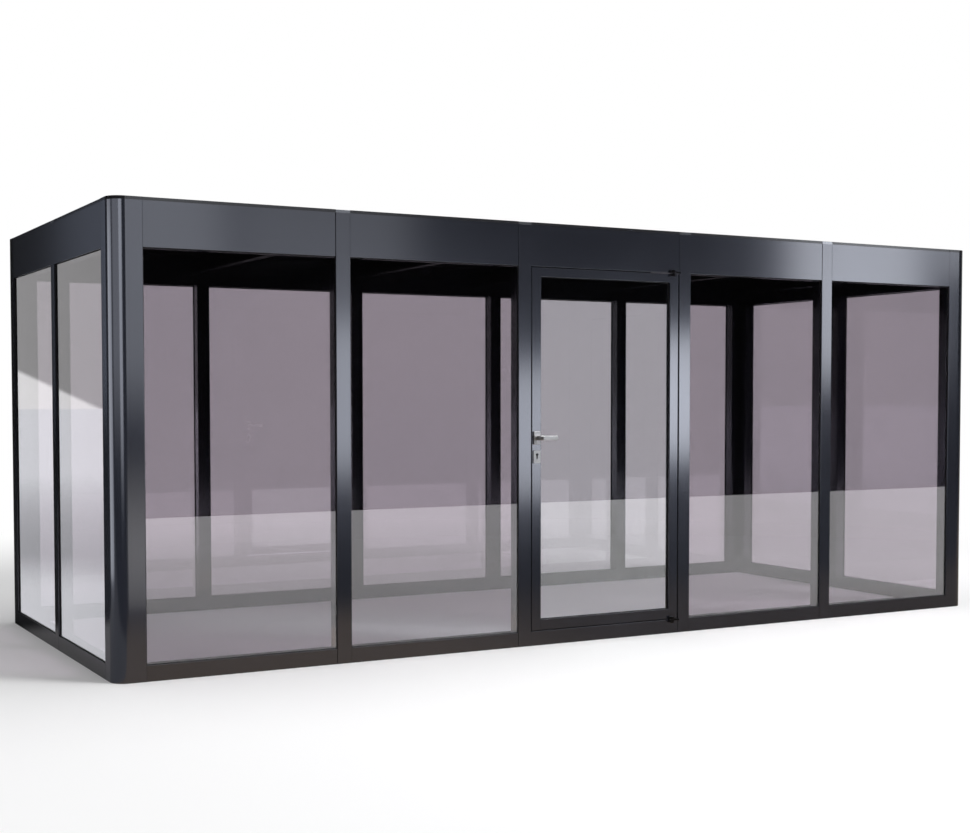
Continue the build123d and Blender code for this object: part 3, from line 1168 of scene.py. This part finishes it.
@dataclass(frozen=True)
class Softbox:
    """A studio lamp with soft edges that shows only in reflections, its size taken at half strength."""

    name: str
    place: Point
    target: Point
    width: float
    height: float
    power: float
    colour: Colour = COOL
    lights: tuple[Slot, ...] = PAINTS
    spares: tuple[Slot, ...] = ()
    nodes: tuple[str, ...] = ()
    soft_share: float = 0.5

    def build(self) -> None:
        """Sets the lamp up, aimed at its target."""
        bpy.ops.object.light_add(type="AREA", location=self.place)
        lamp = bpy.context.object
        lamp.name = lamp.data.name = self.name
        growth = 1.0 / (1.0 - self.soft_share / 2)
        lamp.data.shape = "RECTANGLE"
        lamp.data.size = self.width * growth
        lamp.data.size_y = self.height * growth
        lamp.data.energy = self.power * growth**2
        lamp.data.color = self.colour
        self.soften(lamp.data)
        aim = Vector(self.target) - Vector(self.place)
        lamp.rotation_euler = aim.to_track_quat("-Z", "Y").to_euler()
        lamp.visible_camera = False
        lamp.visible_transmission = False
        if self.lights:
            lamp.light_linking.receiver_collection = self.pieces_of(self.lights, Linking.ONLY)
        if self.spares:
            lamp.light_linking.receiver_collection = self.pieces_of(self.spares, Linking.ALL_BUT)

    def soften(self, light: bpy.types.Light) -> None:
        """Fades the lamp's light towards its edges.

        Args:
            light: The lamp's light.
        """
        light.use_nodes = True
        wiring = Wiring(light.node_tree)
        across, up, _ = wiring.parts(wiring.add("ShaderNodeNewGeometry").outputs["Parametric"])
        strength = wiring.times(self.faded(wiring, across), self.faded(wiring, up))
        wiring.feed(light.node_tree.nodes["Emission"].inputs["Strength"], strength)

    def faded(self, wiring: Wiring, place: Socket) -> Socket:
        """The lamp's strength from edge to edge.

        Args:
            wiring: Nodes of the lamp.
            place: Place between two edges, 0 at one and 1 at the other.

        Returns:
            The strength, 1 in the middle.
        """
        edge = 0.5
        offset = wiring.combine(Operation.SIZE, wiring.less(place, edge))
        return wiring.fade(offset, (edge * (1.0 - self.soft_share), edge), (1.0, 0.0))

    def pieces_of(self, slots: Iterable[Slot], linking: Linking) -> bpy.types.Collection:
        """The pieces of the part that the lamp is kept to or kept from.

        Args:
            slots: Slots of their finishes.
            linking: Which of the two; the rear wall is never among those that it is kept to.

        Returns:
            A collection for the lamp's light linking.
        """
        found = bpy.data.collections.new(self.name + "_pieces")
        names = {slot.finish() for slot in slots}
        for piece in [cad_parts[name] for name in self.nodes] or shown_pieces():
            kept = linking is Linking.ALL_BUT or not piece.name.startswith(REAR)
            if kept and names & {holder.material.name for holder in piece.material_slots}:
                found.objects.link(piece)
        for link in found.collection_objects:
            link.light_linking.link_state = linking.value
        return found


class Rays:
    """Kinds of rays that meet the floor or the background, as sockets that are one for their own kind."""

    def __init__(self, wiring: Wiring) -> None:
        """Adds the nodes.

        Args:
            wiring: Nodes of the floor or the background.
        """
        path = wiring.add("ShaderNodeLightPath").outputs
        turned = wiring.plus(path["Glossy Depth"], path["Diffuse Depth"])
        straight = wiring.combine(Operation.UNDER, turned, 0.5)
        through = wiring.times(path["Is Transmission Ray"], straight)
        self.seen: Socket = wiring.larger(path["Is Camera Ray"], through)
        self.mirrored: Socket = path["Is Singular Ray"]
        self.glossy: Socket = path["Is Glossy Ray"]


class FloorPlan:
    """Places on the floor around the part, as sockets."""

    def __init__(self, wiring: Wiring) -> None:
        """Adds the nodes; the far side is past the rear or the right end, and not in front.

        Args:
            wiring: Nodes of the floor.
        """
        length = wiring.add("ShaderNodeVectorMath", operation="LENGTH")
        wiring.feed(length.inputs[0], wiring.place())
        self.distance: Socket = length.outputs["Value"]
        self.along, self.across, _ = wiring.parts(wiring.place())
        self.in_front = wiring.combine(Operation.UNDER, self.across, 0.0)
        self.on_left = wiring.combine(Operation.UNDER, self.along, CAD_BOX[0][0])
        past_rear = wiring.combine(Operation.OVER, self.across, CAD_BOX[1][1])
        past_right = wiring.combine(Operation.OVER, self.along, CAD_BOX[1][0])
        self.far_side = wiring.less(wiring.larger(past_rear, past_right), self.in_front)


@dataclass
class StudioFloor:
    """A pale floor, lit near the part and white further off, with a tone of its own in panes and in paint."""

    colour: Colour = (0.84, 0.84, 0.845)
    roughness: float = 0.9
    specular: float = 0.1
    front: float = -10.8
    back: float = 200.0
    side: float = 200.0
    thickness: float = 0.02
    lit: Span = (3.6, 7.5)
    in_glass: float = 1.2
    left_in_glass: Colour = (1.06, 1.08, 1.13)
    left_far: Span = (6.0, 22.0)
    left_far_tones: Span = (0.53, 1.0)
    left_near: Span = (4.0, 6.6)
    left_near_tones: Span = (0.40, 0.0)
    ground_colour: Colour = (1.0, 0.76, 0.54)
    ground_glow: Span = (0.52, 0.20)
    glow_change: Span = (-1.2, 0.4)
    glow_depth: Span = (-3.8, -2.2)
    in_paint: Span = (0.03, 0.35)
    left_start: Span = (-2.9, -2.2)
    left_end: Span = (0.4, 1.2)

    def build(self) -> None:
        """Lays the floor."""
        low = (-self.side, self.front, -self.thickness)
        floor = Bench.block("studio_floor", low, (self.side, self.back, 0.0))
        floor.data.materials.append(self.material())
        floor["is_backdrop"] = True

    def material(self) -> Material:
        """The floor's finish as a Blender material.

        Returns:
            The material.
        """
        coat = Coat("studio_floor_finish")
        coat.set(base_color=self.colour, roughness=self.roughness, specular_ior_level=self.specular)
        rays = Rays(coat)
        plan = FloorPlan(coat)
        in_panes = coat.times(rays.mirrored, coat.larger(plan.in_front, plan.on_left))
        clear = coat.larger(rays.seen, in_panes)
        only_mirrored = coat.less(rays.mirrored, rays.seen)
        left_mirrored = coat.times(plan.on_left, only_mirrored)
        white = coat.larger(coat.fade(plan.distance, self.lit, SHARE), left_mirrored)
        glow = self.glow(coat, plan, only_mirrored, left_mirrored)
        open_floor = coat.mixed(coat.times(white, clear), coat.shader, glow)
        dimmed = coat.times(coat.less(rays.glossy, clear), coat.less(1.0, self.paint_share(coat, plan)))
        coat.show(coat.mixed(dimmed, open_floor, self.ground(coat, plan)))
        return coat.material

    def glow(self, coat: Coat, plan: FloorPlan, mirrored: Socket, left: Socket) -> Node:
        """The white of the far floor, with its tones in the panes.

        Args:
            coat: Nodes of the floor.
            plan: Places on it.
            mirrored: One where a pane mirrors the floor.
            left: One where a pane of the left end does.

        Returns:
            The shader.
        """
        glow = coat.add("ShaderNodeEmission")
        coat.feed(glow.inputs["Strength"], coat.fade(mirrored, SHARE, (1.0, self.in_glass)))
        far_tone = coat.fade(plan.distance, self.left_far, self.left_far_tones)
        near_tone = coat.fade(plan.distance, self.left_near, self.left_near_tones)
        tone = coat.blend(coat.plus(far_tone, near_tone), BLACK, self.left_in_glass)
        coat.feed(glow.inputs["Color"], coat.blend(left, WHITE, tone))
        return glow

    def ground(self, coat: Coat, plan: FloorPlan) -> Node:
        """The warm floor close in front of the part, as its paint mirrors it.

        Args:
            coat: Nodes of the floor.
            plan: Places on it.

        Returns:
            The shader.
        """
        close = coat.fade(plan.across, self.glow_depth, SHARE)
        strength = coat.times(close, coat.fade(plan.along, self.glow_change, self.ground_glow))
        strength = coat.times(strength, coat.less(1.0, plan.on_left))
        ground = coat.add("ShaderNodeEmission")
        coat.feed(ground.inputs["Color"], self.ground_colour)
        coat.feed(ground.inputs["Strength"], coat.times(strength, plan.in_front))
        return ground

    def paint_share(self, coat: Coat, plan: FloorPlan) -> Socket:
        """Share of the lit floor that paint mirrors, more beside and behind the part than in front.

        Args:
            coat: Nodes of the floor.
            plan: Places on it.

        Returns:
            The share.
        """
        begun = coat.fade(plan.across, self.left_start, SHARE)
        left_floor = coat.times(begun, coat.fade(plan.across, self.left_end, (1.0, 0.0)))
        left_floor = coat.times(left_floor, plan.on_left)
        beside = coat.larger(coat.less(plan.far_side, plan.on_left), left_floor)
        return coat.fade(beside, SHARE, self.in_paint)


@dataclass
class Background:
    """White where it is seen; in panes a dark room in front and a pale wall behind; a dim dome elsewhere."""

    room: Colour = (0.004, 0.004, 0.004)
    rear_turn: Span = (-0.1, 0.1)
    left_turn: Span = (0.0, 0.1)
    wall_slope: float = 0.49
    wall_rise: float = 0.1175
    wall_edge: Span = (-0.002, 0.002)
    wall_tones: Span = (1.45, 0.55)
    dome_heights: Span = (0.1, 0.9)
    dome_tones: Span = (0.03, 0.55)
    paint_left: float = 0.35
    paint_right: float = 0.22

    def build(self) -> None:
        """Makes the background the scene's world."""
        world = bpy.data.worlds.new("studio")
        bpy.context.scene.world = world
        world.use_nodes = True
        world.node_tree.nodes.clear()
        wiring = Wiring(world.node_tree)
        rays = Rays(wiring)
        sideways, rearways, up = wiring.parts(wiring.add("ShaderNodeTexCoord").outputs["Generated"])
        rearward = wiring.fade(rearways, self.rear_turn, SHARE)
        behind = wiring.times(rearward, wiring.fade(sideways, self.left_turn, (1.0, 0.0)))
        mirror = wiring.blend(behind, self.room, self.wall(wiring, sideways, up))
        dome = self.dome(wiring, up, wiring.times(rays.glossy, behind))
        right = wiring.times(rays.glossy, wiring.less(rearward, behind))
        lit = wiring.plus(dome, wiring.fade(right, SHARE, (0.0, self.paint_right)))
        shown = wiring.add("ShaderNodeBackground")
        colour = wiring.blend(rays.seen, wiring.blend(rays.mirrored, lit, mirror), WHITE)
        wiring.feed(shown.inputs["Color"], colour)
        output = wiring.add("ShaderNodeOutputWorld")
        wiring.feed(output.inputs["Surface"], shown.outputs["Background"])

    def wall(self, wiring: Wiring, sideways: Socket, up: Socket) -> Socket:
        """Tone of the pale wall and of what is over its sloping upper edge.

        Args:
            wiring: Nodes of the background.
            sideways: Direction along X.
            up: Direction along Z.

        Returns:
            The tone.
        """
        lean = wiring.times(sideways, self.wall_slope)
        over_wall = wiring.less(wiring.less(up, lean), self.wall_rise)
        return wiring.fade(over_wall, self.wall_edge, self.wall_tones)

    def dome(self, wiring: Wiring, up: Socket, left: Socket) -> Socket:
        """Tone of the dome, dimmer where paint mirrors it behind on the left.

        Args:
            wiring: Nodes of the background.
            up: Direction along Z.
            left: One where paint mirrors what is behind on the left.

        Returns:
            The tone.
        """
        tone = wiring.fade(up, self.dome_heights, self.dome_tones)
        return wiring.times(tone, wiring.fade(left, SHARE, (1.0, self.paint_left)))


@dataclass
class Studio:
    """The floor, the background and soft lamps, most of which only draw bands of light on the paint."""

    floor: StudioFloor = field(default_factory=StudioFloor)
    background: Background = field(default_factory=Background)

    # Name, place, target, width, height and power. Those far in front stand where the front's paint mirrors
    # them as soft bands, and those of the post draw the bands on its round corner.
    lamps: tuple[Softbox, ...] = (
        Softbox(
            "key_softbox", (8.0, -10.0, 9.0), (0.0, -1.0, 1.0), 5.0, 5.0, 1800.0,
            WHITE, lights=(), spares=DARK,
        ),
        Softbox("top_softbox", (0.0, 0.0, 10.0), (0.0, 0.0, 0.0), 10.0, 7.0, 560.0, WHITE, lights=()),
        Softbox("low_softbox_1", (4.05, -13.2, 1.4), (-1.6, -1.2, 1.4), 2.3, 2.2, 66.0),
        Softbox("low_softbox_2", (6.6, -13.2, 0.88), (-0.5, -1.2, 1.2), 2.8, 1.95, 80.0),
        Softbox("low_softbox_3", (9.15, -13.2, 1.4), (0.5, -1.2, 1.4), 2.3, 1.9, 90.0),
        Softbox("right_softbox", (13.1, -13.2, 3.35), (1.8, -1.2, 2.0), 2.2, 3.3, 112.0),
        Softbox("end_softbox", (16.0, -13.2, 4.5), (2.7, -1.2, 2.1), 1.4, 1.9, 18.0),
        Softbox("corner_softbox", (1.0, -13.2, 3.35), (-2.5, -1.2, 2.1), 1.8, 4.0, 41.0),
        Softbox("high_softbox", (3.4, -13.2, 3.5), (-1.5, -1.2, 2.2), 2.4, 1.8, 15.0),
        Softbox(
            "ground_softbox", (-1.95, -3.7, 0.36), (-2.7, -1.2, 0.5), 0.9, 0.8, 3.4, WARM, soft_share=1.0,
        ),
        Softbox("side_softbox", (-6.7, 0.3, 1.3), (-2.8, -1.1, 1.3), 2.7, 3.3, 74.0, nodes=POST),
        Softbox("between_softbox", (-9.3, -5.75, 3.45), (-2.8, -1.1, 1.2), 8.0, 4.6, 142.0, nodes=POST),
        Softbox("front_softbox", (-5.54, -8.62, 3.0), (-2.8, -1.1, 1.2), 3.0, 4.6, 132.0, nodes=POST),
        Softbox("rear_softbox", (-6.55, 10.7, 3.2), (-2.8, -0.9, 2.2), 2.2, 4.0, 4.6, BLUE),
        Softbox(
            "handle_softbox", (6.5, -13.2, 2.0), (-0.4, -1.2, 1.15), 9.0, 7.0, 125.0,
            lights=(Slot.SATIN_SILVER,),
        ),
    )

    def build(self) -> None:
        """Sets the studio up."""
        bpy.context.scene.view_settings.view_transform = "Standard"
        self.floor.build()
        self.background.build()
        for lamp in self.lamps:
            lamp.build()


@dataclass
class PhotoCamera:
    """The camera at the photograph's place, with its focal length and centre in pixels."""

    place: Point = (-4.7058, -8.1814, 1.3654)
    yaw: float = 28.76
    pitch: float = 2.38
    roll: float = -0.046
    focal: float = 1488.7
    center: Span = (475.1, 460.7)
    image: Span = (970.0, 833.0)
    sensor: float = 36.0
    reach: float = 200.0

    def build(self) -> None:
        """Sets the camera up and makes it the scene's."""
        bpy.ops.object.camera_add()
        camera = bpy.context.object
        camera.name = camera.data.name = "photo_camera"
        turn = Matrix.Rotation(math.radians(-self.yaw), 4, "Z")
        tilt = Matrix.Rotation(math.radians(90.0 - self.pitch), 4, "X")
        lean = Matrix.Rotation(math.radians(self.roll), 4, "Z")
        camera.matrix_world = Matrix.Translation(self.place) @ turn @ tilt @ lean
        camera.data.sensor_width = self.sensor
        camera.data.lens = self.focal * self.sensor / self.image[0]
        camera.data.shift_x = (self.image[0] / 2 - self.center[0]) / self.image[0]
        camera.data.shift_y = (self.center[1] - self.image[1] / 2) / self.image[0]
        camera.data.clip_end = self.reach
        bpy.context.scene.camera = camera


def finishes() -> FinishRack:
    """The finishes of the part.

    Returns:
        A rack with one finish for each material slot.
    """
    return FinishRack((
        SatinPaint(Slot.FRAME_PAINT, (0.029, 0.032, 0.045), (0.033, 0.036, 0.050)),
        SatinPaint(Slot.CAP_PAINT, (0.12, 0.125, 0.14), (0.15, 0.155, 0.17)),
        SatinPaint(Slot.EDGE_PAINT, (0.018, 0.018, 0.021), (0.026, 0.026, 0.030), metal=0.0, coat=0.0),
        RoofCoat(Slot.ROOF_COATING),
        # The beams are painted near-black as painted shade, standing in for the dark inside under the roof.
        SatinPaint(Slot.BEAM_PAINT, (0.012, 0.012, 0.013), (0.018, 0.018, 0.020), metal=0.0, coat=0.0),
        TintedGlass(Slot.TINTED_GLASS, (0.615, 0.572, 0.616), (0.60, 0.56, 0.605)),
        TintedGlass(Slot.LIGHT_GLASS, (0.81, 0.83, 0.845), (0.80, 0.82, 0.835)),
        SealRubber(Slot.RUBBER_SEAL),
        BrushedMetal(Slot.SATIN_SILVER, (0.78, 0.78, 0.79), (0.66, 0.66, 0.67)),
        BrushedMetal(Slot.SPINDLE_STEEL, (0.55, 0.55, 0.55), (0.42, 0.42, 0.42)),
        BrushedMetal(
            Slot.HINGE_METAL, (0.010, 0.010, 0.012), (0.016, 0.016, 0.018), roughness=(0.34, 0.46), metal=0.4,
        ),
    ))


def main() -> None:
    """Builds the sub-assemblies in order and reports their pieces, then sets up the studio and the camera."""
    logging.basicConfig(level=logging.INFO, format="%(message)s")
    rack = finishes()
    for kind in (FrameShell, Glazing, Roof, DoorLeaf, HingeSet, LeverSet):
        for piece in kind(rack).build():
            LOG.info("%s: %s, %d faces", kind.__name__, piece.name, len(piece.data.polygons))
    Studio().build()
    PhotoCamera().build()


if __name__ == "__main__":
    main()
